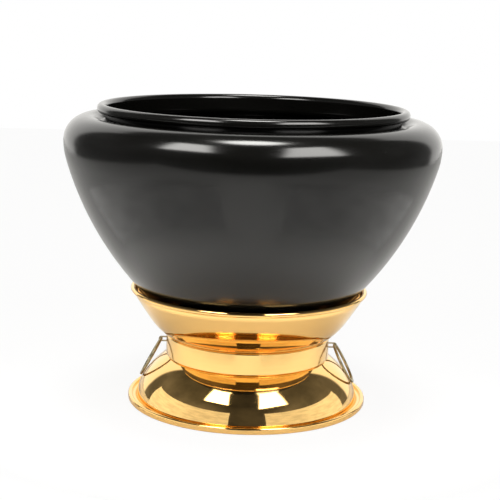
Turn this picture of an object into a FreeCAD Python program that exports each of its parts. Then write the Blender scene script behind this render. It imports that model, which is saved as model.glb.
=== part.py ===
"""A black coated alms bowl standing in a gold-coloured spun stand with two swinging ring handles.

Millimetres, +Z up, the origin on the floor at the centre of the stand. The ring handles are on the X axis.
Every sheet part is one open outline, given the sheet's thickness and turned about the Z axis.
"""
import FreeCAD, Part
import math
import os
import re
import Sketcher
from FreeCAD import Placement, Rotation, Vector

doc = FreeCAD.newDocument("alms_bowl_and_stand")
X_AXIS = Vector(1, 0, 0)
Y_AXIS = Vector(0, 1, 0)
Z_AXIS = Vector(0, 0, 1)
ORIGIN = Vector(0, 0, 0)
FRONT_PLANE = Placement(ORIGIN, Rotation(X_AXIS, 90))  # a sketch here has r along X and height along Z

SIZES = {
    # sheet thicknesses
    "bowl_sheet": 0.8,
    "stand_sheet": 0.7,
    # bowl
    "belly_radius": 115.0,
    "belly_height": 162.85,
    "shoulder_height": 177.8,
    "valley_radius": 93.8,
    "shoulder_inner_bend": 7.2,
    "rim_radius": 92.13,
    "rim_height": 181.95,
    "rim_bead": 2.87,
    "under_belly_bend": 43.2,
    "flank_top": 150.85,
    "flank_bend": 197.2,
    "flank_foot": 46.2,
    "bowl_rest": 43.1,
    "kick_up": 4.0,
    "kick_bend": 12.0,
    # saucer
    "saucer_floor": 42.1,
    "floor_radius": 50.0,
    "floor_corner": 1.5,
    "floor_corner_rise": 0.25,
    "dish_bend": 40.0,
    "dish_knee": 53.0,
    "wall_bend": 300.0,
    "wall_top": 66.0,
    "lip_radius": 72.13,
    "lip_height": 71.0,
    "lip_bead": 1.5,
    # neck band
    "band_radius": 51.1,
    "band_corner": 0.9,
    "band_flange": 45.0,
    # foot
    "foot_top": 28.6,
    "disc_radius": 49.7,
    "disc_corner": 0.9,
    "dome_bend": 50.0,
    "dome_knee": 15.5,
    "dome_wall_bend": 30.0,
    "dome_foot": 2.6,
    "gutter_low": 1.6,
    "gutter_bend": 1.3,
    "base_radius": 73.42,
    "base_height": 4.0,
    "base_bend": 1.25,
    "base_flat": 0.6,
    # staple eyes and ring handles
    "eye_height": 36.0,
    "eye_reach": 5.2,
    "strip": 0.7,
    "strip_width": 1.4,
    "eye_play": 0.1,
    "slot_play": 0.05,
    "leg_bend": 0.6,
    "leg_rise": 4.6,
    "plate_radius": 5.0,
    "plate_sheet": 0.6,
    "plate_gap": 0.25,
    "ring_wire": 0.85,
    "ring_radius": 12.95,
    "ring_lean": 61.6,
    # tie bolt and what is on it
    "bolt_hole": 2.7,
    "bolt_shank": 2.4,
    "bolt_head": 5.5,
    "bolt_head_rise": 2.2,
    "bolt_length": 23.5,
    "washer_hole": 2.65,
    "washer_radius": 7.5,
    "washer_sheet": 0.8,
    "spring_radius": 4.4,
    "spring_sheet": 1.2,
    "split": 1.0,
    "nut_flats": 8.0,
    "nut_rise": 4.0,
    "thread_play": 0.05,
}

SIDES = {"left": -1, "right": 1}
BEAD_SWEEP = 300  # degrees that a rim bead is rolled round
DISC_TURN = 32  # degrees that the foot's corner turns down at the edge of its top disc
BASE_TUCK = 50  # degrees that the rolled base edge goes on, past its flat underside

# sizes worked out from the driving ones
EYE_INSIDE = "(ring_wire + eye_play)"
EYE_TIP = "(band_radius + eye_reach - strip)"
PLATE_BACK = "(band_radius - stand_sheet - plate_gap - plate_sheet)"
DISC_UNDER = "(foot_top - stand_sheet)"
FLOOR_TOP = "(saucer_floor + stand_sheet)"
GUTTER_RISE = "((base_height - gutter_low) / (gutter_bend + base_bend))"  # 1 would end it upright
GUTTER_END = f"(base_radius - (gutter_bend + base_bend) * sqrt(1 - (1 - {GUTTER_RISE})^2))"


def make_sheet():
    """Write the driving sizes into the document's spreadsheet, one aliased row each."""
    sheet = doc.addObject("Spreadsheet::Sheet", "Sizes")
    for row, (alias, value) in enumerate(SIZES.items(), start=1):
        sheet.set(f"A{row}", alias)
        sheet.set(f"B{row}", str(value))
        sheet.setAlias(f"B{row}", alias)
    doc.recompute()
    return sheet


sheet = make_sheet()


def in_sheet(formula):
    """A formula with each plain size name turned into the sheet's own, such as rim_bead into Sizes.rim_bead."""
    return re.sub(r"[a-z_]+", lambda word: "Sizes." * (word.group() in SIZES) + word.group(), formula)


def size(formula):
    """The present value of a formula in sheet sizes, as a plain number."""
    value = sheet.evalExpression(in_sheet(formula))
    return float(value.Value if hasattr(value, "Value") else value)


def bind(item, prop, formula):
    """Tie a property of an object to a formula in sheet sizes."""
    item.setExpression(prop, in_sheet(formula))


class Outline:
    """An open chain of tangent lines and arcs, drawn in the half plane of radius and height.

    The pen has a place and a heading. An arc is given by its turn ("left" or "right") and two of: its
    radius, the radius r or height z where it ends, its swept angle, or that it ends level or upright.
    Every size is an expression in the sheet's names, and becomes a constraint of the sketch.
    """

    def __init__(self, name, r, z, heading):
        self.sketch = doc.addObject("Sketcher::SketchObject", name)
        self.sketch.Placement = FRONT_PLANE
        self.count = 0
        self.start = (r, z)
        self.pen = self.start_point = Vector(size(r), size(z), 0)
        self.heading = self.start_heading = math.radians(heading)
        self.last = None
        self.first_end = None

    def restart(self):
        """Lift the pen and go the other way from the first point."""
        self.pen = self.start_point
        self.heading = self.start_heading + math.pi
        self.last = self.first_end

    def constrain(self, *arguments, formula=None):
        """Add a constraint, and bind it to the sheet if it is a size."""
        index = self.sketch.addConstraint(Sketcher.Constraint(*arguments))
        if formula:
            self.count += 1
            name = f"size_{self.count}"
            self.sketch.renameConstraint(index, name)
            self.sketch.setExpression(f"Constraints.{name}", in_sheet(formula))

    def fix_place(self, element, end, r, z):
        """Give a point its radius, its height or both."""
        if r == "0":
            self.constrain("PointOnObject", element, end, -2)
        elif r is not None:
            self.constrain("DistanceX", -1, 1, element, end, size(r), formula=r)
        if z is not None:
            self.constrain("DistanceY", -1, 1, element, end, size(z), formula=z)

    def join(self, element, head, tail):
        """Tie a new element to the last one, or set its first point. True if it is the first element."""
        fresh = self.last is None
        if fresh:
            self.fix_place(element, head, *self.start)
            self.first_end = (element, head)
        else:
            self.constrain("Tangent", self.last[0], self.last[1], element, head)
        self.last = (element, tail)
        return fresh

    def line(self, r=None, z=None):
        """Go straight on to a radius or a height."""
        ahead = Vector(math.cos(self.heading), math.sin(self.heading), 0)
        reach = (size(z) - self.pen.y) / ahead.y if r is None else (size(r) - self.pen.x) / ahead.x
        target = self.pen + ahead * reach
        element = self.sketch.addGeometry(Part.LineSegment(self.pen, target), False)
        if self.join(element, 1, 2):
            self.constrain("Vertical" if r is None else "Horizontal", element)
        self.fix_place(element, 2, r, z)
        self.pen = target

    def arc(self, turn, radius=None, r=None, z=None, sweep=None, end=None):
        """Go round an arc."""
        side = 1 if turn == "left" else -1
        final = self.final_heading(side, radius, r, z, sweep, end)
        bend = size(radius) if radius else self.bend_to(side, final, r, z)
        centre = self.pen + left_of(self.heading) * (side * bend)
        target = centre - left_of(final) * (side * bend)
        first_angle = self.heading - side * math.pi / 2
        last_angle = final - side * math.pi / 2
        circle = Part.Circle(centre, Z_AXIS, bend)
        arc = Part.ArcOfCircle(circle, min(first_angle, last_angle), max(first_angle, last_angle))
        element = self.sketch.addGeometry(arc, False)
        head, tail = (1, 2) if side > 0 else (2, 1)
        if self.join(element, head, tail):
            self.constrain("Horizontal", element, 3, element, head)
        if radius:
            self.constrain("Radius", element, bend, formula=radius)
        if end:
            self.constrain("Vertical" if end == "level" else "Horizontal", element, 3, element, tail)
        if sweep:
            self.constrain("Angle", element, math.radians(sweep))
        self.fix_place(element, tail, r, z)
        self.pen = target
        self.heading = final

    def final_heading(self, side, radius, r, z, sweep, end):
        """The heading at the far end of an arc: the first one on its way that meets the end's condition."""
        if sweep:
            return self.heading + side * math.radians(sweep)
        if end == "level":
            choices = (0, math.pi)
        elif end == "upright":
            choices = (math.pi / 2, -math.pi / 2)
        else:
            bend = size(radius)
            centre = self.pen + left_of(self.heading) * (side * bend)
            if z is not None:
                angle = math.acos(side * (centre.y - size(z)) / bend)
                choices = (angle, -angle)
            else:
                angle = math.asin(side * (size(r) - centre.x) / bend)
                choices = (angle, math.pi - angle)
        turns = [side * (choice - self.heading) % (2 * math.pi) for choice in choices]
        return self.heading + side * min(turned for turned in turns if turned > 1e-6)

    def bend_to(self, side, final, r, z):
        """The radius of an arc that ends at a known heading and a known radius or height."""
        step = (left_of(self.heading) - left_of(final)) * side
        if r is None:
            return (size(z) - self.pen.y) / step.y
        return (size(r) - self.pen.x) / step.x


def left_of(heading):
    """The direction on the left of a heading."""
    return Vector(-math.sin(heading), math.cos(heading), 0)


def thicken(name, outline, sheet_size, side):
    """A sheet's section: the strip between an outline and its copy one thickness to one side, 1 or -1."""
    strip = doc.addObject("Part::Offset2D", name)
    strip.Source = outline.sketch
    strip.Mode = "Skin"
    strip.Fill = True
    bind(strip, "Value", f"{sheet_size} * {side}")
    return strip


def spin(name, section):
    """A section turned about the Z axis."""
    part = doc.addObject("Part::Revolution", name)
    part.Source = section
    part.Axis = Z_AXIS
    part.Base = ORIGIN
    part.Angle = 360
    part.Solid = True
    return part


def make_bowl():
    """Spun bowl: pushed-up base, straight flanks, round belly, short neck and a bead rolled outwards."""
    outline = Outline("bowl_outline", "belly_radius", "belly_height", -90)
    outline.arc("right", radius="under_belly_bend", z="flank_top")
    outline.arc("right", radius="flank_bend", z="flank_foot")
    outline.arc("right", z="bowl_rest", end="level")
    outline.arc("right", radius="kick_bend", z="bowl_rest + kick_up / 3")
    outline.arc("left", z="bowl_rest + kick_up", end="level")
    outline.line(r="0")
    outline.restart()
    outline.arc("left", z="shoulder_height", end="level")
    outline.arc("left", radius="shoulder_inner_bend", r="valley_radius")
    outline.arc("right", r="rim_radius - rim_bead + bowl_sheet", end="upright")
    outline.line(z="rim_height")
    outline.arc("right", radius="rim_bead - bowl_sheet", sweep=BEAD_SWEEP)
    return spin("bowl", thicken("bowl_section", outline, "bowl_sheet", 1))


def make_saucer():
    """The stand's dish: flat floor with the bolt's hole, curved wall and a bead rolled outwards."""
    outline = Outline("saucer_outline", "bolt_hole", "saucer_floor", 0)
    outline.line(r="floor_radius")
    outline.arc("left", radius="floor_corner", z="saucer_floor + floor_corner_rise")
    outline.arc("left", radius="dish_bend", z="dish_knee")
    outline.arc("left", radius="wall_bend", z="wall_top")
    outline.arc("left", r="lip_radius - lip_bead + stand_sheet", end="upright")
    outline.line(z="lip_height")
    outline.arc("right", radius="lip_bead - stand_sheet", sweep=BEAD_SWEEP)
    return spin("saucer", thicken("saucer_section", outline, "stand_sheet", 1))


def make_foot():
    """The stand's foot: top disc, round dome, and a gutter that runs out into the rolled base edge."""
    outline = Outline("foot_outline", "bolt_hole", "foot_top", 0)
    outline.line(r="disc_radius")
    outline.arc("right", radius="disc_corner", sweep=DISC_TURN)
    outline.arc("right", radius="dome_bend", z="dome_knee")
    outline.arc("right", radius="dome_wall_bend", z="dome_foot")
    outline.arc("left", z="gutter_low", end="level")
    outline.line(r=GUTTER_END)
    outline.arc("left", radius="gutter_bend", z=f"gutter_low + gutter_bend * {GUTTER_RISE}")
    outline.arc("right", radius="base_bend", end="upright")
    outline.line(z="base_bend")
    outline.arc("right", radius="base_bend", end="level")
    outline.line(r="base_radius - base_flat")
    outline.arc("right", radius="base_bend", sweep=BASE_TUCK)
    return spin("foot", thicken("foot_section", outline, "stand_sheet", -1))


def make_band_blank():
    """The waist band before it is punched: a drum with its two edges turned inwards."""
    outline = Outline("band_outline", "band_flange", "saucer_floor", 0)
    outline.line(r="band_radius - band_corner")
    outline.arc("right", radius="band_corner", end="upright")
    outline.line(z="foot_top + band_corner")
    outline.arc("right", radius="band_corner", end="level")
    outline.line(r="band_flange")
    return spin("band_blank", thicken("band_section", outline, "stand_sheet", -1))


def block(name, x, z, length, width, height):
    """A rectangular cutting block centred on the XZ plane, from its low corner's x and z."""
    box = doc.addObject("Part::Box", name)
    bind(box, "Length", length)
    bind(box, "Width", width)
    bind(box, "Height", height)
    bind(box, "Placement.Base.x", x)
    bind(box, "Placement.Base.y", f"-({width}) / 2")
    bind(box, "Placement.Base.z", z)
    return box


def cut(name, blank, tool):
    """A blank with a tool cut out of it."""
    part = doc.addObject("Part::Cut", name)
    part.Base = blank
    part.Tool = tool
    return part


def make_neck_band():
    """The waist band, with a pair of slots on each side for the legs of its staple eye."""
    slots = []
    for side_name, side in SIDES.items():
        start = "band_radius - 2 * stand_sheet" if side > 0 else "-band_radius - stand_sheet"
        for leg, low in (("upper", f"eye_height + {EYE_INSIDE} - slot_play"),
                         ("lower", f"eye_height - {EYE_INSIDE} - strip - slot_play")):
            slots.append(block(f"band_slot_{side_name}_{leg}", start, low, "3 * stand_sheet",
                               "strip_width + 2 * slot_play", "strip + 2 * slot_play"))
    punches = doc.addObject("Part::MultiFuse", "band_slots")
    punches.Shapes = slots
    return cut("neck_band", make_band_blank(), punches)


def turn_to(part, side):
    """Stand a piece made for the right side of the stand on the left side, if it belongs there."""
    if side < 0:
        part.Placement = Placement(ORIGIN, Rotation(Z_AXIS, 180))
    return part


def make_staple_eye(side_name, side):
    """A strip bent into an open eye outside the band, its two legs spread behind the backing plate."""
    outline = Outline(f"staple_outline_{side_name}", EYE_TIP, "eye_height", 90)
    for turn, other, sign in (("left", "right", "+"), ("right", "left", "-")):
        outline.arc(turn, radius=EYE_INSIDE, end="level")
        outline.line(r=f"{PLATE_BACK} + leg_bend")
        outline.arc(other, radius="leg_bend + strip", end="upright")
        outline.line(z=f"eye_height {sign} leg_rise")
        if sign == "+":
            outline.restart()
    eye = doc.addObject("Part::Extrusion", f"staple_eye_{side_name}")
    eye.Base = thicken(f"staple_section_{side_name}", outline, "strip", -1)
    eye.DirMode = "Custom"
    eye.Dir = Y_AXIS
    eye.Symmetric = True
    eye.Solid = True
    bind(eye, "LengthFwd", "strip_width")
    return turn_to(eye, side)


def make_backing_plate(side_name, side):
    """A flat disc behind the band, with one slot that takes both legs of the staple eye."""
    disc = doc.addObject("Part::Cylinder", f"plate_disc_{side_name}")
    bind(disc, "Radius", "plate_radius")
    bind(disc, "Height", "plate_sheet")
    disc.Placement = Placement(ORIGIN, Rotation(Y_AXIS, 90))
    bind(disc, "Placement.Base.x", PLATE_BACK)
    bind(disc, "Placement.Base.z", "eye_height")
    half_slot = f"({EYE_INSIDE} + strip + leg_bend)"
    slot = block(f"plate_slot_{side_name}", f"{PLATE_BACK} - plate_sheet", f"eye_height - {half_slot}",
                 "3 * plate_sheet", "strip_width + 2 * slot_play", f"2 * {half_slot}")
    return turn_to(cut(f"backing_plate_{side_name}", disc, slot), side)


def make_ring_handle(side_name, side):
    """A round wire ring through the eye, leaning out over the foot's dome."""
    ring = doc.addObject("Part::Torus", f"ring_handle_{side_name}")
    bind(ring, "Radius1", "ring_radius")
    bind(ring, "Radius2", "ring_wire")
    ring.Placement = Placement(ORIGIN, Rotation(Y_AXIS, side * size("ring_lean")))
    bind(ring, "Placement.Base.x",
         f"{side} * ({EYE_TIP} - {EYE_INSIDE} + ring_radius * cos(ring_lean * 1 deg))")
    bind(ring, "Placement.Base.z", "eye_height - ring_radius * sin(ring_lean * 1 deg)")
    return ring


def start_body(name, height):
    """An empty body standing on the stand's axis at a height."""
    body = doc.addObject("PartDesign::Body", name)
    bind(body, "Placement.Base.z", height)
    return body


def sketch_in(body, name, role):
    """A sketch on one of the body's own origin planes."""
    sketch = body.newObject("Sketcher::SketchObject", name)
    planes = [plane for plane in body.Origin.OriginFeatures if plane.Role == role]
    sketch.AttachmentSupport = [(planes[0], "")]
    sketch.MapMode = "FlatFace"
    return sketch


def add_circle(sketch, radius):
    """A circle about the sketch's origin, its radius tied to the sheet."""
    circle = sketch.addGeometry(Part.Circle(ORIGIN, Z_AXIS, size(radius)), False)
    sketch.addConstraint(Sketcher.Constraint("Coincident", circle, 3, -1, 1))
    index = sketch.addConstraint(Sketcher.Constraint("Radius", circle, size(radius)))
    sketch.setExpression(f"Constraints[{index}]", in_sheet(radius))


def pad_circles(name, height, radii, thickness):
    """A body that is one disc or ring: circles padded upwards."""
    body = start_body(name, height)
    sketch = sketch_in(body, name + "_face", "XY_Plane")
    for radius in radii:
        add_circle(sketch, radius)
    pad = body.newObject("PartDesign::Pad", name + "_pad")
    pad.Profile = sketch
    bind(pad, "Length", thickness)
    return body


def make_spring_washer():
    """A split ring under the nut."""
    body = pad_circles("spring_washer", f"{DISC_UNDER} - washer_sheet - spring_sheet",
                       ("washer_hole", "spring_radius"), "spring_sheet")
    sketch = sketch_in(body, "spring_washer_split", "XY_Plane")
    low, high = size("washer_hole - split"), size("spring_radius + split")
    half = size("split / 2")
    corners = [Vector(low, -half, 0), Vector(high, -half, 0), Vector(high, half, 0), Vector(low, half, 0)]
    draw_loop(sketch, corners)
    pocket = body.newObject("PartDesign::Pocket", "spring_washer_gap")
    pocket.Profile = sketch
    pocket.Type = "ThroughAll"
    pocket.Reversed = True
    return body


def draw_loop(sketch, corners):
    """A closed loop of straight lines through corners, each corner pinned where it is."""
    for index, corner in enumerate(corners):
        line = sketch.addGeometry(Part.LineSegment(corner, corners[(index + 1) % len(corners)]), False)
        sketch.addConstraint(Sketcher.Constraint("DistanceX", -1, 1, line, 1, corner.x))
        sketch.addConstraint(Sketcher.Constraint("DistanceY", -1, 1, line, 1, corner.y))
    for line in range(len(corners)):
        sketch.addConstraint(Sketcher.Constraint("Coincident", line, 2, (line + 1) % len(corners), 1))


def make_hex_nut():
    """A plain hexagon nut with a smooth bore."""
    body = start_body("hex_nut", f"{DISC_UNDER} - washer_sheet - spring_sheet - nut_rise")
    sketch = sketch_in(body, "nut_hexagon", "XY_Plane")
    reach = size("nut_flats") / math.sqrt(3)
    draw_loop(sketch, [Vector(reach * math.cos(math.radians(60 * step)),
                              reach * math.sin(math.radians(60 * step)), 0) for step in range(6)])
    pad = body.newObject("PartDesign::Pad", "nut_pad")
    pad.Profile = sketch
    bind(pad, "Length", "nut_rise")
    bore = sketch_in(body, "nut_bore", "XY_Plane")
    add_circle(bore, "bolt_shank + thread_play")
    pocket = body.newObject("PartDesign::Pocket", "nut_hole")
    pocket.Profile = bore
    pocket.Type = "ThroughAll"
    pocket.Reversed = True
    return body


def make_tie_bolt():
    """A pan-head bolt, head up on the saucer's floor, with a screwdriver slot."""
    body = start_body("tie_bolt", f"{FLOOR_TOP} + washer_sheet - bolt_length")
    shank_face = sketch_in(body, "bolt_shank_face", "XY_Plane")
    add_circle(shank_face, "bolt_shank")
    shank = body.newObject("PartDesign::Pad", "bolt_shank_pad")
    shank.Profile = shank_face
    bind(shank, "Length", "bolt_length")
    head_face = sketch_in(body, "bolt_head_face", "XY_Plane")
    head_face.AttachmentOffset = Placement(Vector(0, 0, size("bolt_length")), Rotation())
    bind(head_face, "AttachmentOffset.Base.z", "bolt_length")
    add_circle(head_face, "bolt_head")
    head = body.newObject("PartDesign::Pad", "bolt_head_pad")
    head.Profile = head_face
    bind(head, "Length", "bolt_head_rise")
    doc.recompute()
    rim = [index for index, edge in enumerate(head.Shape.Edges, start=1)
           if abs(edge.BoundBox.ZMin - size("bolt_length + bolt_head_rise")) < 1e-6
           and abs(edge.BoundBox.ZMax - edge.BoundBox.ZMin) < 1e-6]
    rounding = body.newObject("PartDesign::Fillet", "bolt_head_rounding")
    rounding.Base = (head, [f"Edge{index}" for index in rim])
    bind(rounding, "Radius", "bolt_head_rise * 2 / 3")
    return body


def make_parts():
    """Every separate piece of the object."""
    parts = [make_bowl(), make_saucer(), make_neck_band(), make_foot()]
    for side_name, side in SIDES.items():
        parts.append(make_staple_eye(side_name, side))
        parts.append(make_backing_plate(side_name, side))
        parts.append(make_ring_handle(side_name, side))
    parts.append(pad_circles("head_washer", FLOOR_TOP, ("washer_hole", "washer_radius"), "washer_sheet"))
    parts.append(pad_circles("plain_washer", f"{DISC_UNDER} - washer_sheet",
                             ("washer_hole", "washer_radius"), "washer_sheet"))
    parts += [make_spring_washer(), make_hex_nut(), make_tie_bolt()]
    return parts


def check(parts):
    """Stop if an object failed to recompute, or a piece is missing or broken."""
    doc.recompute()
    for item in doc.Objects:
        if "Invalid" in item.State or "Error" in item.State:
            raise RuntimeError(f"{item.Name} failed: {item.State}")
    for part in parts:
        if part.Shape.isNull() or not part.Shape.isValid():
            raise RuntimeError(f"{part.Label} has no valid shape")


def write(parts):
    """Write one STEP file for each piece, and print its volume and box."""
    os.makedirs("parts", exist_ok=True)
    for part in parts:
        part.Shape.exportStep(os.path.join("parts", part.Label + ".step"))
        box = part.Shape.optimalBoundingBox()
        print(f"{part.Label:24s} {part.Shape.Volume:10.1f} mm3  z {box.ZMin:7.2f} to {box.ZMax:7.2f}"
              f"  x {box.XMin:7.2f} to {box.XMax:7.2f}")


parts = make_parts()
check(parts)
write(parts)
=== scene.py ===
import math
import bpy
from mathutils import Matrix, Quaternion, Vector


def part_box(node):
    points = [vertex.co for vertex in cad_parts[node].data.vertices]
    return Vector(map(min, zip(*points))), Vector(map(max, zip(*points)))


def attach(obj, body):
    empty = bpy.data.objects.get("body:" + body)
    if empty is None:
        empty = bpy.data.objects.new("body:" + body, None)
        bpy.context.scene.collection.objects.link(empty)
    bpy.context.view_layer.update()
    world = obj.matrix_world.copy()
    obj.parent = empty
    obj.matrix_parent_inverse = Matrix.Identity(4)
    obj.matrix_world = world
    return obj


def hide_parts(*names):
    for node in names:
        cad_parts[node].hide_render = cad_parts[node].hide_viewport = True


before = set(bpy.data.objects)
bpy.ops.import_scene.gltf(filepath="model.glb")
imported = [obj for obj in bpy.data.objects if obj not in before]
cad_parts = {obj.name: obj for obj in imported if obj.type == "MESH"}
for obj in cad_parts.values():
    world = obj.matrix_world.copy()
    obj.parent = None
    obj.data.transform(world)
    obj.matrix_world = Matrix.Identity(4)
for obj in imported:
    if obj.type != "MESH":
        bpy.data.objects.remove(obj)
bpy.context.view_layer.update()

MM = 0.001
AROUND = 192  # steps round a turned part
ARC_STEP = math.radians(4)  # longest step along an arc, by its turn
LONG_STEP = 2.0  # and by its length, mm
ON_AXIS = 1e-6  # lengths under this, mm, count as nothing
BEAD_SWEEP = 300  # degrees that a rim bead is rolled round
DISC_TURN = 32  # degrees that the foot's corner turns down at the edge of its top disc
BASE_TUCK = 50  # degrees that the rolled base edge goes on, past its flat underside
BOWL_SHEET = 0.8  # thicknesses and the hole's radius, mm
STAND_SHEET = 0.7
BOLT_HOLE = 2.7


# ---------------------------------------------------------------- outlines

class Outline:
    """A chain of tangent lines and arcs in the half plane of radius and height, in millimetres.

    The pen has a place and a heading. An arc is given by its turn ("left" or "right") and two of: its
    radius, the radius r or height z where it ends, its swept angle, or that it ends level or upright.
    """

    def __init__(self, r, z, heading):
        self.r, self.z = r, z
        self.heading = math.radians(heading)
        self.points = [(r, z, self.heading)]

    def line(self, r=None, z=None):
        """Go straight on to a radius or a height."""
        along, up = math.cos(self.heading), math.sin(self.heading)
        reach = (z - self.z) / up if r is None else (r - self.r) / along
        start_r, start_z = self.r, self.z
        steps = max(1, math.ceil(abs(reach) / LONG_STEP))
        for step in range(1, steps + 1):
            done = reach * step / steps
            self.points.append((start_r + along * done, start_z + up * done, self.heading))
        self.r, self.z = self.points[-1][:2]

    def arc(self, turn, radius=None, r=None, z=None, sweep=None, end=None):
        """Go round an arc."""
        side = 1 if turn == "left" else -1
        final = self.final_heading(side, radius, r, z, sweep, end)
        if radius is None:
            radius = self.bend_to(side, final, r, z)
        centre_r = self.r - math.sin(self.heading) * side * radius
        centre_z = self.z + math.cos(self.heading) * side * radius
        turned = final - self.heading
        steps = max(2, math.ceil(abs(turned) / ARC_STEP), math.ceil(abs(turned) * radius / LONG_STEP))
        start = self.heading
        for step in range(1, steps + 1):
            heading = start + turned * step / steps
            self.points.append((centre_r + math.sin(heading) * side * radius,
                                centre_z - math.cos(heading) * side * radius, heading))
        self.r, self.z, self.heading = self.points[-1]

    def final_heading(self, side, radius, r, z, sweep, end):
        """The heading at the far end of an arc: the first one on its way that meets the end's condition."""
        if sweep:
            return self.heading + side * math.radians(sweep)
        if end == "level":
            choices = (0, math.pi)
        elif end == "upright":
            choices = (math.pi / 2, -math.pi / 2)
        elif z is not None:
            angle = math.acos(side * (self.z + math.cos(self.heading) * side * radius - z) / radius)
            choices = (angle, -angle)
        else:
            angle = math.asin(side * (r - self.r + math.sin(self.heading) * side * radius) / radius)
            choices = (angle, math.pi - angle)
        turns = [side * (choice - self.heading) % (2 * math.pi) for choice in choices]
        return self.heading + side * min(turned for turned in turns if turned > 1e-6)

    def bend_to(self, side, final, r, z):
        """The radius of an arc that ends at a known heading and a known radius or height."""
        if r is None:
            return (z - self.z) / (side * (math.cos(self.heading) - math.cos(final)))
        return (r - self.r) / (side * (math.sin(final) - math.sin(self.heading)))

    def skin(self, side):
        """Points with normals that look left (1) or right (-1) of the pen: (r, z, normal r, normal z)."""
        return [(r, z, -math.sin(h) * side, math.cos(h) * side) for r, z, h in self.points]


def two_sides(skin, sheet):
    """The closed section of a sheet: its drawn skin, then the other side one sheet behind, going back."""
    back = [(r - across * sheet, z - up * sheet, -across, -up) for r, z, across, up in reversed(skin)]
    return [skin, back]


# ---------------------------------------------------------------- meshes

def add_object(name, data):
    """An object in the scene."""
    made = bpy.data.objects.new(name, data)
    bpy.context.scene.collection.objects.link(made)
    return made


def mesh_piece(name, vertices, faces, normals):
    """A smooth mesh object in metres from millimetres, with a normal for each corner of each face."""
    mesh = bpy.data.meshes.new(name)
    mesh.from_pydata([Vector(v) * MM for v in vertices], [], faces)
    mesh.polygons.foreach_set("use_smooth", [True] * len(faces))
    mesh.normals_split_custom_set([normal for corners in normals for normal in corners])
    mesh.update()
    return add_object(name, mesh)


def turned_piece(name, runs):
    """A closed section turned about the Z axis. Each run is one smooth skin; between runs is a cut edge."""
    vertices = []
    rings = []
    for run in runs:
        for r, z, _, _ in run:
            first = len(vertices)
            if r < ON_AXIS:
                vertices.append((0, 0, z))
                rings.append([first] * AROUND)
                continue
            for step in range(AROUND):
                angle = 2 * math.pi * step / AROUND
                vertices.append((r * math.cos(angle), r * math.sin(angle), z))
            rings.append(list(range(first, first + AROUND)))
    flat = [point for run in runs for point in run]
    run_ends = set()
    total = 0
    for run in runs:
        total += len(run)
        run_ends.add(total - 1)
    # the side of its own path on which the section's skin looks, 1 left or -1 right
    (r0, z0, across, up), (r1, z1, _, _) = runs[0][0], runs[0][1]
    side = 1 if (r1 - r0) * up - (z1 - z0) * across > 0 else -1
    faces = []
    normals = []
    for here in range(len(flat)):
        after = (here + 1) % len(flat)
        (ra, za, na, ua), (rb, zb, nb, ub) = flat[here], flat[after]
        if here in run_ends:
            length = math.hypot(rb - ra, zb - za)
            if length < ON_AXIS or (ra < ON_AXIS and rb < ON_AXIS):
                continue
            na = nb = -(zb - za) / length * side
            ua = ub = (rb - ra) / length * side
        for step in range(AROUND):
            ahead = (step + 1) % AROUND
            corners = [(rings[here][step], na, ua, step), (rings[here][ahead], na, ua, ahead),
                       (rings[after][ahead], nb, ub, ahead), (rings[after][step], nb, ub, step)]
            if side > 0:
                corners.reverse()
            if ra < ON_AXIS or rb < ON_AXIS:
                firsts = {}
                for corner in corners:
                    firsts.setdefault(corner[0], corner)
                corners = list(firsts.values())
            faces.append([c[0] for c in corners])
            normals.append([(across * math.cos(2 * math.pi * turn / AROUND),
                             across * math.sin(2 * math.pi * turn / AROUND), up)
                            for _, across, up, turn in corners])
    return mesh_piece(name, vertices, faces, normals)


def swept_piece(name, path, frames, section):
    """A section, a loop of (a, b, normal a, normal b), carried along a path and closed at its ends.

    Each point of the path has a pair of axes, for a and for b.
    """
    vertices = []
    for centre, (axis_a, axis_b) in zip(path, frames):
        for a, b, _, _ in section:
            vertices.append(centre + axis_a * a + axis_b * b)
    count = len(section)
    faces = []
    normals = []
    for row in range(len(path) - 1):
        for column in range(count):
            following = (column + 1) % count
            faces.append([row * count + column, row * count + following,
                          (row + 1) * count + following, (row + 1) * count + column])
            corner_normals = []
            for at_row, at_column in ((row, column), (row, following),
                                      (row + 1, following), (row + 1, column)):
                axis_a, axis_b = frames[at_row]
                corner_normals.append(axis_a * section[at_column][2] + axis_b * section[at_column][3])
            normals.append(corner_normals)
    first = list(range(count))
    last = [(len(path) - 1) * count + column for column in first]
    faces += [first[::-1], last]
    start_normal = (path[0] - path[1]).normalized()
    end_normal = (path[-1] - path[-2]).normalized()
    normals += [[start_normal] * count, [end_normal] * count]
    return mesh_piece(name, vertices, faces, normals)


# ---------------------------------------------------------------- pieces

def place(piece, body, node, material):
    """Let a piece ride on its body, stand for its CAD node and take its finish."""
    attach(piece, body)
    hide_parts(node)
    piece.data.materials.append(material)
    return piece


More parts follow.
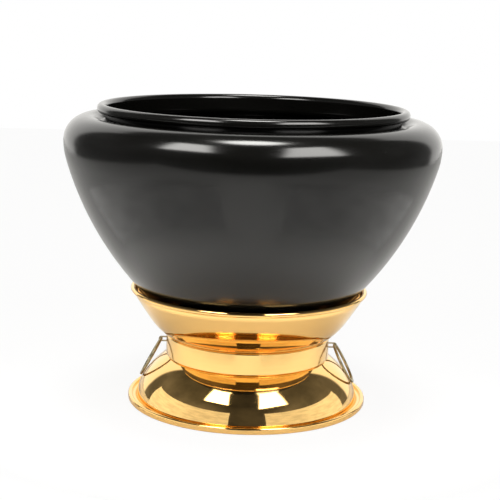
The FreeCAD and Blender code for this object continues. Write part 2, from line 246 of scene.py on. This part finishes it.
def make_bowl():
    """Spun bowl: pushed-up base, straight flanks, round belly, short neck and a bead rolled outwards."""
    low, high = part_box("bowl")
    belly_radius, belly_height = high.x / MM, 162.85
    under_belly_bend, flank_top, flank_bend, flank_foot = 43.2, 150.85, 197.2, 46.2
    rest, kick_up, kick_bend = low.z / MM, 4.0, 12.0
    shoulder_height, shoulder_inner_bend, valley_radius = 177.8, 7.2, 93.8
    rim_radius, bead = 92.13, 2.87
    rim_height = high.z / MM - bead
    down = Outline(belly_radius, belly_height, -90)
    down.arc("right", radius=under_belly_bend, z=flank_top)
    down.arc("right", radius=flank_bend, z=flank_foot)
    down.arc("right", z=rest, end="level")
    down.arc("right", radius=kick_bend, z=rest + kick_up / 3)
    down.arc("left", z=rest + kick_up, end="level")
    down.line(r=0)
    up = Outline(belly_radius, belly_height, 90)
    up.arc("left", z=shoulder_height, end="level")
    up.arc("left", radius=shoulder_inner_bend, r=valley_radius)
    up.arc("right", r=rim_radius - bead + BOWL_SHEET, end="upright")
    up.line(z=rim_height)
    up.arc("right", radius=bead - BOWL_SHEET, sweep=BEAD_SWEEP)
    skin = down.skin(1)[::-1] + up.skin(-1)[1:]
    return turned_piece("bowl_spun", two_sides(skin, BOWL_SHEET))


def make_saucer():
    """The stand's dish: flat floor with the bolt's hole, curved wall and a bead rolled outwards."""
    low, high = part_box("saucer")
    floor_height, floor_radius, floor_corner, corner_rise = low.z / MM, 50.0, 1.5, 0.25
    dish_bend, dish_knee, wall_bend, wall_top = 40.0, 53.0, 300.0, 66.0
    bead = 1.5
    outline = Outline(BOLT_HOLE, floor_height, 0)
    outline.line(r=floor_radius)
    outline.arc("left", radius=floor_corner, z=floor_height + corner_rise)
    outline.arc("left", radius=dish_bend, z=dish_knee)
    outline.arc("left", radius=wall_bend, z=wall_top)
    outline.arc("left", r=high.x / MM - 2 * bead + STAND_SHEET, end="upright")
    outline.line(z=high.z / MM - bead)
    outline.arc("right", radius=bead - STAND_SHEET, sweep=BEAD_SWEEP)
    return turned_piece("saucer_spun", two_sides(outline.skin(-1), STAND_SHEET))


def make_neck_band():
    """The waist band: a drum with its two edges turned inwards."""
    low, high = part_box("neck_band")
    outer, corner, flange = high.x / MM, 0.9, 45.0
    outline = Outline(flange, low.z / MM, 0)
    outline.line(r=outer - corner)
    outline.arc("left", radius=corner, end="upright")
    outline.line(z=high.z / MM - corner)
    outline.arc("left", radius=corner, end="level")
    outline.line(r=flange)
    return turned_piece("neck_band_spun", two_sides(outline.skin(-1), STAND_SHEET))


def make_foot():
    """The stand's foot: top disc, round dome, and a gutter that runs out into the rolled base edge."""
    low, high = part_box("foot")
    disc_radius, disc_corner = 49.7, 0.9
    dome_bend, dome_knee, dome_wall_bend, dome_foot = 50.0, 15.5, 30.0, 2.6
    gutter_low, gutter_bend = 1.6, 1.3
    base_height, base_bend, flat = 4.0, 1.25, 0.6
    base_radius = high.x / MM - base_bend
    rise = (base_height - gutter_low) / (gutter_bend + base_bend)  # 1 would end the gutter upright
    outline = Outline(BOLT_HOLE, high.z / MM, 0)
    outline.line(r=disc_radius)
    outline.arc("right", radius=disc_corner, sweep=DISC_TURN)
    outline.arc("right", radius=dome_bend, z=dome_knee)
    outline.arc("right", radius=dome_wall_bend, z=dome_foot)
    outline.arc("left", z=gutter_low, end="level")
    outline.line(r=base_radius - (gutter_bend + base_bend) * math.sqrt(1 - (1 - rise) ** 2))
    outline.arc("left", radius=gutter_bend, z=gutter_low + gutter_bend * rise)
    outline.arc("right", radius=base_bend, end="upright")
    outline.line(z=base_bend)
    outline.arc("right", radius=base_bend, end="level")
    outline.line(r=base_radius - flat)
    outline.arc("right", radius=base_bend, sweep=BASE_TUCK)
    return turned_piece("foot_spun", two_sides(outline.skin(1), STAND_SHEET))


def wire_section(radius, steps=24):
    """A round section."""
    turns = [2 * math.pi * step / steps for step in range(steps)]
    return [(radius * math.cos(t), radius * math.sin(t), math.cos(t), math.sin(t)) for t in turns]


def strip_section(half_width, half_sheet, corner, steps=4):
    """A flat section with rounded edges."""
    section = []
    centres = ((1, 1, 0), (-1, 1, 90), (-1, -1, 180), (1, -1, 270))
    for sign_a, sign_b, first in centres:
        for step in range(steps + 1):
            turn = math.radians(first + 90 * step / steps)
            across, up = math.cos(turn), math.sin(turn)
            section.append((sign_a * (half_width - corner) + corner * across,
                            sign_b * (half_sheet - corner) + corner * up, across, up))
    return section


def make_ring(side_name, side):
    """A round wire ring with a fine butt joint, leaning out from its eye."""
    low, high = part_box("ring_handle_" + side_name)
    wire = 0.85
    radius = (high.y - low.y) / MM / 2 - wire
    centre = (low + high) / 2 / MM
    lean = math.asin(((high.z - low.z) / MM / 2 - wire) / radius)
    down = Vector((side * math.cos(lean), 0, -math.sin(lean)))
    across = Vector((0, 1, 0))
    normal = down.cross(across)
    joint_gap = 0.11 / radius
    joint_turn = math.radians(205)
    steps = 160
    path = []
    frames = []
    for step in range(steps + 1):
        turn = joint_turn + joint_gap / 2 + (2 * math.pi - joint_gap) * step / steps
        outward = down * math.cos(turn) + across * math.sin(turn)
        path.append(centre + outward * radius)
        frames.append((normal, outward))
    return swept_piece("ring_handle_" + side_name + "_wire", path, frames, wire_section(wire))


def make_eye(side_name, side):
    """A strip bent into an open eye outside the band, its two legs spread behind the backing plate."""
    low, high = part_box("staple_eye_" + side_name)
    sheet, inside, bend, edge = 0.7, 0.95, 0.6, 0.16
    middle = inside + sheet / 2
    eye_height = (low.z + high.z) / MM / 2
    tip = max(abs(low.x), abs(high.x)) / MM
    behind = min(abs(low.x), abs(high.x)) / MM
    half_path = Outline(tip - sheet / 2, eye_height, 90)
    half_path.arc("left", radius=middle, end="level")
    half_path.line(r=behind + sheet + bend)
    half_path.arc("right", radius=bend + sheet / 2, end="upright")
    half_path.line(z=high.z / MM)
    upper = [(r, z, -math.sin(h), math.cos(h)) for r, z, h in half_path.points]
    lower = [(r, 2 * eye_height - z, across, -up) for r, z, across, up in upper]
    chain = lower[::-1] + upper[1:]
    path = [Vector((side * r, 0, z)) for r, z, _, _ in chain]
    frames = [(Vector((0, side, 0)), Vector((side * across, 0, up))) for _, _, across, up in chain]
    section = strip_section((high.y - low.y) / MM / 2, sheet / 2, edge)
    return swept_piece("staple_eye_" + side_name + "_strip", path, frames, section)


# ---------------------------------------------------------------- node trees

class Wires:
    """Short calls for building a node tree."""

    def __init__(self, tree):
        self.tree = tree

    def node(self, kind, inputs=None, **settings):
        """A node with its settings, and its inputs given as values or as other nodes' outputs."""
        made = self.tree.nodes.new(kind)
        for setting, choice in settings.items():
            setattr(made, setting, choice)
        for name, value in (inputs or {}).items():
            if isinstance(value, bpy.types.NodeSocket):
                self.tree.links.new(value, made.inputs[name])
            else:
                made.inputs[name].default_value = value
        return made

    def math(self, operation, *values):
        """One calculation."""
        return self.node("ShaderNodeMath", dict(enumerate(values)), operation=operation).outputs[0]

    def ease(self, value, low, high, start=0.0, end=1.0):
        """A smooth change from start to end while the value goes from low to high."""
        made = self.node("ShaderNodeMapRange", {"Value": value, "From Min": low, "From Max": high,
                                                "To Min": start, "To Max": end},
                         interpolation_type="SMOOTHSTEP")
        return made.outputs["Result"]

    def between(self, value, low, high, soft):
        """1 between two limits, easing to 0 outside them."""
        rise = self.ease(value, low - soft, low + soft)
        fall = self.ease(value, high - soft, high + soft, 1.0, 0.0)
        return self.math("MULTIPLY", rise, fall)

    def blend(self, share, first, second):
        """Two numbers mixed by a share."""
        return self.node("ShaderNodeMix", {0: share, 2: first, 3: second}).outputs[0]

    def noise(self, vector, scale, detail=2.0, roughness=0.5):
        """A soft random pattern from 0 to 1."""
        made = self.node("ShaderNodeTexNoise", {"Vector": vector, "Scale": scale, "Detail": detail,
                                                "Roughness": roughness})
        return made.outputs["Fac"]

    def mix_colour(self, share, first, second):
        """Two colours mixed by a share."""
        return self.node("ShaderNodeMix", {0: share, 6: first, 7: second}, data_type="RGBA").outputs[2]

    def vector(self, x, y, z):
        """Three numbers as one vector."""
        return self.node("ShaderNodeCombineXYZ", {"X": x, "Y": y, "Z": z}).outputs[0]


def empty_tree(owner):
    """Start the node tree of a material or a world afresh."""
    owner.use_nodes = True
    owner.node_tree.nodes.clear()
    return Wires(owner.node_tree)


def new_material(name):
    """A material with its Principled shader joined to the output."""
    material = bpy.data.materials.new(name)
    wires = empty_tree(material)
    shader = wires.node("ShaderNodeBsdfPrincipled")
    wires.node("ShaderNodeOutputMaterial", {"Surface": shader.outputs[0]})
    return material, wires, shader


def turned_coordinates(wires):
    """The place on the piece as (radius, height, turn), for marks that run round the axis."""
    place_on = wires.node("ShaderNodeTexCoord").outputs["Object"]
    parts = wires.node("ShaderNodeSeparateXYZ", {0: place_on}).outputs
    square = wires.math("ADD", wires.math("MULTIPLY", parts[0], parts[0]),
                        wires.math("MULTIPLY", parts[1], parts[1]))
    radius = wires.math("SQRT", square)
    turn = wires.math("ARCTAN2", parts[1], parts[0])
    return place_on, radius, parts[2], turn


def spin_marks(wires, radius, height, turn, per_metre, slow=0.35):
    """Fine lines that run round a spun part and wander a little."""
    drift = wires.math("MULTIPLY", wires.math("SINE", turn), slow / per_metre)
    swing = wires.math("MULTIPLY", wires.math("COSINE", turn), slow / per_metre)
    along = wires.vector(wires.math("ADD", radius, drift), wires.math("ADD", height, swing), 0.0)
    return wires.noise(along, per_metre, 3.0, 0.6)


def join_bump(wires, shader, height, distance):
    """Raise and lower the surface by a pattern, up to a distance in metres."""
    bump = wires.node("ShaderNodeBump", {"Height": height, "Distance": distance, "Strength": 1.0})
    wires.tree.links.new(bump.outputs[0], shader.inputs["Normal"])


def black_lacquer():
    """Sprayed black coat over the spun bowl: smooth gloss, a trace of orange peel, specks of dust."""
    material, wires, shader = new_material("black_lacquer")
    place_on, radius, height, turn = turned_coordinates(wires)
    cloud = wires.noise(place_on, 28.0, 3.0)
    colour = wires.mix_colour(cloud, (0.0016, 0.0016, 0.0013, 1), (0.0032, 0.0032, 0.0026, 1))
    speck = wires.node("ShaderNodeTexVoronoi", {"Vector": place_on, "Scale": 95.0, "Randomness": 1.0})
    dust = wires.ease(speck.outputs["Distance"], 0.022, 0.034, 1.0, 0.0)
    rare = wires.ease(wires.noise(place_on, 41.0, 0.0), 0.62, 0.66)
    dust = wires.math("MULTIPLY", dust, rare)
    colour = wires.mix_colour(dust, colour, (0.12, 0.12, 0.11, 1))
    wires.tree.links.new(colour, shader.inputs["Base Color"])
    smear = wires.noise(place_on, 9.0, 4.0, 0.6)
    gloss = wires.ease(smear, 0.3, 0.75, 0.15, 0.19)
    rough = wires.math("ADD", gloss, wires.math("MULTIPLY", dust, 0.4))
    wires.tree.links.new(rough, shader.inputs["Roughness"])
    peel = wires.noise(place_on, 620.0, 2.0)
    rings = spin_marks(wires, radius, height, turn, 190.0)
    relief = wires.math("ADD", wires.math("MULTIPLY", peel, 0.35), wires.math("MULTIPLY", rings, 0.65))
    relief = wires.math("ADD", relief, wires.math("MULTIPLY", dust, 6.0))
    join_bump(wires, shader, relief, 0.000004)
    shader.inputs["IOR"].default_value = 1.5
    return material


def polished_gold(name, satin, wave):
    """Gold-coloured plating over spun metal: mirror bright, with faint rings from spinning and buffing."""
    material, wires, shader = new_material(name)
    place_on, radius, height, turn = turned_coordinates(wires)
    tone = wires.noise(place_on, 16.0, 3.0)
    colour = wires.mix_colour(tone, (0.93, 0.585, 0.205, 1), (0.96, 0.625, 0.235, 1))
    wires.tree.links.new(colour, shader.inputs["Base Color"])
    lines = spin_marks(wires, radius, height, turn, 2600.0)
    broad = spin_marks(wires, radius, height, turn, 240.0)
    haze = wires.noise(place_on, 22.0, 4.0, 0.6)
    rough = wires.math("ADD", wires.ease(lines, 0.3, 0.7, satin * 0.7, satin * 1.25),
                       wires.ease(haze, 0.45, 0.75, 0.0, satin * 0.45))
    wires.tree.links.new(rough, shader.inputs["Roughness"])
    relief = wires.math("ADD", broad, wires.math("MULTIPLY", lines, 0.06))
    join_bump(wires, shader, relief, wave)
    shader.inputs["Metallic"].default_value = 1.0
    return material


def drawn_brass():
    """Thin plated brass wire and strip: drawn grain, a little dull and uneven in colour."""
    material, wires, shader = new_material("handle_brass")
    place_on = wires.node("ShaderNodeTexCoord").outputs["Object"]
    patch = wires.noise(place_on, 420.0, 3.0, 0.6)
    colour = wires.mix_colour(patch, (0.30, 0.25, 0.145, 1), (0.46, 0.40, 0.26, 1))
    tarnish = wires.ease(wires.noise(place_on, 160.0, 4.0, 0.65), 0.55, 0.75)
    colour = wires.mix_colour(wires.math("MULTIPLY", tarnish, 0.5), colour, (0.16, 0.13, 0.075, 1))
    wires.tree.links.new(colour, shader.inputs["Base Color"])
    grain = wires.noise(place_on, 3600.0, 3.0, 0.6)
    rough = wires.math("ADD", wires.ease(grain, 0.3, 0.7, 0.24, 0.38), wires.math("MULTIPLY", tarnish, 0.12))
    wires.tree.links.new(rough, shader.inputs["Roughness"])
    join_bump(wires, shader, grain, 0.000006)
    shader.inputs["Metallic"].default_value = 1.0
    return material


def zinc_steel():
    """Zinc plated steel fasteners: blue-grey, spangled, lightly scratched."""
    material, wires, shader = new_material("zinc_steel")
    place_on = wires.node("ShaderNodeTexCoord").outputs["Object"]
    spangle = wires.node("ShaderNodeTexVoronoi", {"Vector": place_on, "Scale": 1400.0}).outputs["Color"]
    shade = wires.node("ShaderNodeSeparateColor", {0: spangle}).outputs[0]
    colour = wires.mix_colour(shade, (0.50, 0.52, 0.55, 1), (0.66, 0.67, 0.68, 1))
    stain = wires.ease(wires.noise(place_on, 210.0, 4.0, 0.6), 0.58, 0.78)
    colour = wires.mix_colour(wires.math("MULTIPLY", stain, 0.4), colour, (0.44, 0.40, 0.31, 1))
    wires.tree.links.new(colour, shader.inputs["Base Color"])
    scratch = wires.noise(place_on, 5200.0, 2.0, 0.7)
    rough = wires.math("ADD", wires.ease(scratch, 0.3, 0.7, 0.24, 0.38), wires.math("MULTIPLY", shade, 0.08))
    wires.tree.links.new(rough, shader.inputs["Roughness"])
    join_bump(wires, shader, scratch, 0.000008)
    shader.inputs["Metallic"].default_value = 1.0
    return material


# ---------------------------------------------------------------- studio

CAMERA_TURN = 2.5  # degrees that the camera stands round from the front, towards +X
# Azimuths are round the object: 0 towards the camera, positive to its right; degrees. Lengths are in metres.
SOFTBOXES = {
    # corners as azimuth, distance from the axis and height
    "softbox_left": {"corners": ((-19, 0.36, 0.33), (-54, 0.36, 0.33), (-60, 0.24, 0.47), (-27, 0.24, 0.47)),
                     "radiance": 12.0},
    "softbox_right": {"corners": ((13, 0.38, 0.28), (52, 0.34, 0.27), (57, 0.24, 0.47), (21, 0.24, 0.47)),
                      "radiance": 10.5},
}
# low screens round the sides, with the azimuths of their ends and their light near those ends
SCREENS = {"screen_left": {"ends": (-100, -14), "light": (1.25, 0.95)},
           "screen_right": {"ends": (17, 100), "light": (0.95, 1.20)}}
SCREEN_DISTANCE, SCREEN_HEIGHT = 0.19, 0.085
LAMP_COLOUR = (1, 0.985, 0.95, 1)
OVERHEAD_FROM, OVERHEAD = 80, 20.0  # elevation at which the lamp overhead begins, and its light
WALL_EDGE = 133  # azimuth to each side at which the white sweep behind begins
WALL_TOP, WALL = 44, 1.3  # elevation of its top, and its light
SOFT_EDGE = 2.0  # degrees to each side over which the sweep and the lamp begin
ROOM_LOW, ROOM_HIGH = 0.16, 0.09  # the room's light low down and high up, at the sides
ROOM_FRONT = 0.4  # share of that light straight in front
FLOOR_FRONT, FLOOR_BACK, FLOOR_SIDE = -0.50, 1.6, 0.675
SHADOW_SHOWN = 0.10  # share of the floor's own shading that the camera sees; the rest is plain white


def studio_world():
    """A white sweep behind, a dim room in front and at the sides, and a lamp overhead."""
    world = bpy.data.worlds.new("studio")
    bpy.context.scene.world = world
    wires = empty_tree(world)
    direction = wires.node("ShaderNodeTexCoord").outputs["Generated"]
    turned = wires.node("ShaderNodeVectorRotate", {"Vector": direction, "Angle": math.radians(-CAMERA_TURN)},
                        rotation_type="Z_AXIS").outputs[0]
    x, y, z = wires.node("ShaderNodeSeparateXYZ", {0: turned}).outputs
    azimuth = wires.math("DEGREES", wires.math("ARCTAN2", x, wires.math("MULTIPLY", y, -1.0)))
    elevation = wires.math("DEGREES", wires.math("ARCSINE", z))
    aside = wires.math("ABSOLUTE", azimuth)
    light = wires.ease(elevation, 30.0, 50.0, ROOM_LOW, ROOM_HIGH)
    light = wires.math("MULTIPLY", light, wires.ease(aside, 12.0, 60.0, ROOM_FRONT, 1.0))
    patchy = wires.noise(direction, 2.6, 3.0, 0.6)
    light = wires.math("MULTIPLY", light, wires.ease(patchy, 0.3, 0.7, 0.75, 1.25))
    wall = wires.ease(elevation, WALL_TOP - 3.0, WALL_TOP + 3.0, WALL, ROOM_HIGH)
    light = wires.blend(wires.ease(aside, WALL_EDGE - SOFT_EDGE, WALL_EDGE + SOFT_EDGE), light, wall)
    lamp = wires.ease(elevation, OVERHEAD_FROM - SOFT_EDGE, OVERHEAD_FROM + SOFT_EDGE, 0.0, OVERHEAD)
    light = wires.math("ADD", light, lamp)
    room = wires.node("ShaderNodeBackground", {"Color": LAMP_COLOUR, "Strength": light})
    backdrop = wires.node("ShaderNodeBackground", {"Color": (1, 1, 1, 1), "Strength": 1.0})
    seen = wires.node("ShaderNodeLightPath").outputs["Is Camera Ray"]
    mixed = wires.node("ShaderNodeMixShader", {0: seen, 1: room.outputs[0], 2: backdrop.outputs[0]})
    wires.node("ShaderNodeOutputWorld", {"Surface": mixed.outputs[0]})


def round_the_axis(azimuth, distance, height):
    """A place in the studio, from its azimuth to the camera's right, distance from the axis and height."""
    turn = math.radians(azimuth + CAMERA_TURN)
    return Vector((distance * math.sin(turn), -distance * math.cos(turn), height))


def lit_panel(name, vertices, faces, places):
    """A stage panel that the camera doesn't see, each face corner with its place from (0, 0) to (1, 1).

    It gives the panel's wires and the place on it, as a vector and as its two numbers.
    """
    mesh = bpy.data.meshes.new(name)
    mesh.from_pydata(vertices, [], faces)
    cloth = mesh.uv_layers.new(name="cloth")
    cloth.data.foreach_set("uv", [number for place_on in places for number in place_on])
    panel = add_object(name, mesh)
    panel.visible_camera = False
    material = bpy.data.materials.new(name + "_cloth")
    mesh.materials.append(material)
    wires = empty_tree(material)
    place_on = wires.node("ShaderNodeTexCoord").outputs["UV"]
    x, y, _ = wires.node("ShaderNodeSeparateXYZ", {0: place_on}).outputs
    return wires, place_on, x, y


def light_up(wires, strength):
    """Let a stage panel give off light."""
    glow = wires.node("ShaderNodeEmission", {"Color": LAMP_COLOUR, "Strength": strength})
    wires.node("ShaderNodeOutputMaterial", {"Surface": glow.outputs[0]})


def make_softbox(name, corners, radiance):
    """A panel of light beside the camera, fading at its edges."""
    vertices = [round_the_axis(*corner) for corner in corners]
    wires, _, x, y = lit_panel(name, vertices, [(0, 1, 2, 3)], ((0, 0), (1, 0), (1, 1), (0, 1)))
    inside = wires.math("MULTIPLY", wires.between(x, 0.10, 0.90, 0.10), wires.between(y, 0.06, 0.94, 0.06))
    light_up(wires, wires.math("MULTIPLY", inside, radiance))


def make_screen(name, ends, light):
    """A low white screen that stands round one side of the object."""
    steps = 24
    vertices = []
    for step in range(steps + 1):
        azimuth = ends[0] + (ends[1] - ends[0]) * step / steps
        for height in (0, SCREEN_HEIGHT):
            vertices.append(round_the_axis(azimuth, SCREEN_DISTANCE, height))
    faces = [(2 * step, 2 * step + 2, 2 * step + 3, 2 * step + 1) for step in range(steps)]
    places = [(at / steps, up) for step in range(steps)
              for at, up in ((step, 0), (step + 1, 0), (step + 1, 1), (step, 1))]
    wires, place_on, x, _ = lit_panel(name, vertices, faces, places)
    strength = wires.ease(x, 0.25, 0.75, *light)
    folds = wires.ease(wires.noise(place_on, 7.0, 3.0, 0.6), 0.35, 0.65, 0.85, 1.1)
    light_up(wires, wires.math("MULTIPLY", strength, folds))


def make_floor():
    """The white table top that the object stands on."""
    mesh = bpy.data.meshes.new("floor")
    turn = math.radians(CAMERA_TURN)
    corners = []
    for x, y in ((-FLOOR_SIDE, FLOOR_FRONT), (FLOOR_SIDE, FLOOR_FRONT), (FLOOR_SIDE, FLOOR_BACK),
                 (-FLOOR_SIDE, FLOOR_BACK)):
        corners.append((x * math.cos(turn) - y * math.sin(turn), x * math.sin(turn) + y * math.cos(turn), 0))
    mesh.from_pydata(corners, [], [(0, 1, 2, 3)])
    add_object("floor", mesh)
    material = bpy.data.materials.new("white_table")
    wires = empty_tree(material)
    place_on = wires.node("ShaderNodeTexCoord").outputs["Object"]
    tone = wires.mix_colour(wires.noise(place_on, 6.0, 3.0), (0.79, 0.79, 0.785, 1), (0.82, 0.82, 0.815, 1))
    paper = wires.node("ShaderNodeBsdfDiffuse", {"Color": tone})
    white = wires.node("ShaderNodeEmission", {"Color": (1, 1, 1, 1), "Strength": 1.0})
    clear = wires.node("ShaderNodeBsdfTransparent")
    seen = wires.node("ShaderNodeLightPath").outputs["Is Camera Ray"]
    shown = wires.math("MULTIPLY", seen, 1.0 - SHADOW_SHOWN)
    top = wires.node("ShaderNodeMixShader", {0: shown, 1: paper.outputs[0], 2: white.outputs[0]})
    under = wires.math("MULTIPLY", seen, wires.node("ShaderNodeNewGeometry").outputs["Backfacing"])
    both = wires.node("ShaderNodeMixShader", {0: under, 1: top.outputs[0], 2: clear.outputs[0]})
    wires.node("ShaderNodeOutputMaterial", {"Surface": both.outputs[0]})
    mesh.materials.append(material)


def make_camera():
    """The view of the object from just above its rim, with the slight roll of a hand-held camera."""
    away, height = 0.7855, 0.24885
    pitch, roll = 0.1934, 0.0275
    turn = math.radians(CAMERA_TURN)
    data = bpy.data.cameras.new("camera")
    data.lens, data.sensor_width = 92.55, 36.0
    camera = add_object("camera", data)
    camera.location = (away * math.sin(turn), -away * math.cos(turn), height)
    look = Vector((-math.sin(turn) * math.cos(pitch), math.cos(turn) * math.cos(pitch), -math.sin(pitch)))
    camera.rotation_mode = "QUATERNION"
    level = look.to_track_quat("-Z", "Y")
    camera.rotation_quaternion = level @ Quaternion((0, 0, 1), roll)
    bpy.context.scene.camera = camera


def build():
    """Every piece, with its body, its CAD node and its finish."""
    lacquer = black_lacquer()
    gold = polished_gold("gold", 0.05, 0.0000006)
    band_gold = polished_gold("gold_satin", 0.13, 0.0000012)
    brass = drawn_brass()
    steel = zinc_steel()
    place(make_bowl(), "bowl", "bowl", lacquer)
    place(make_saucer(), "stand", "saucer", gold)
    place(make_neck_band(), "stand", "neck_band", band_gold)
    place(make_foot(), "stand", "foot", gold)
    for side_name, side in (("left", -1), ("right", 1)):
        ring_node = "ring_handle_" + side_name
        place(make_ring(side_name, side), side_name + "_ring", ring_node, brass)
        place(make_eye(side_name, side), "stand", "staple_eye_" + side_name, brass)
    for name in ("tie_bolt", "head_washer", "plain_washer", "spring_washer", "hex_nut",
                 "backing_plate_left", "backing_plate_right"):
        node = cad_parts[name]
        node.data.materials.clear()
        node.data.materials.append(steel)


bpy.context.scene.view_settings.view_transform = "Standard"
make_camera()
studio_world()
for softbox_name, softbox in SOFTBOXES.items():
    make_softbox(softbox_name, **softbox)
for screen_name, screen in SCREENS.items():
    make_screen(screen_name, **screen)
make_floor()
build()
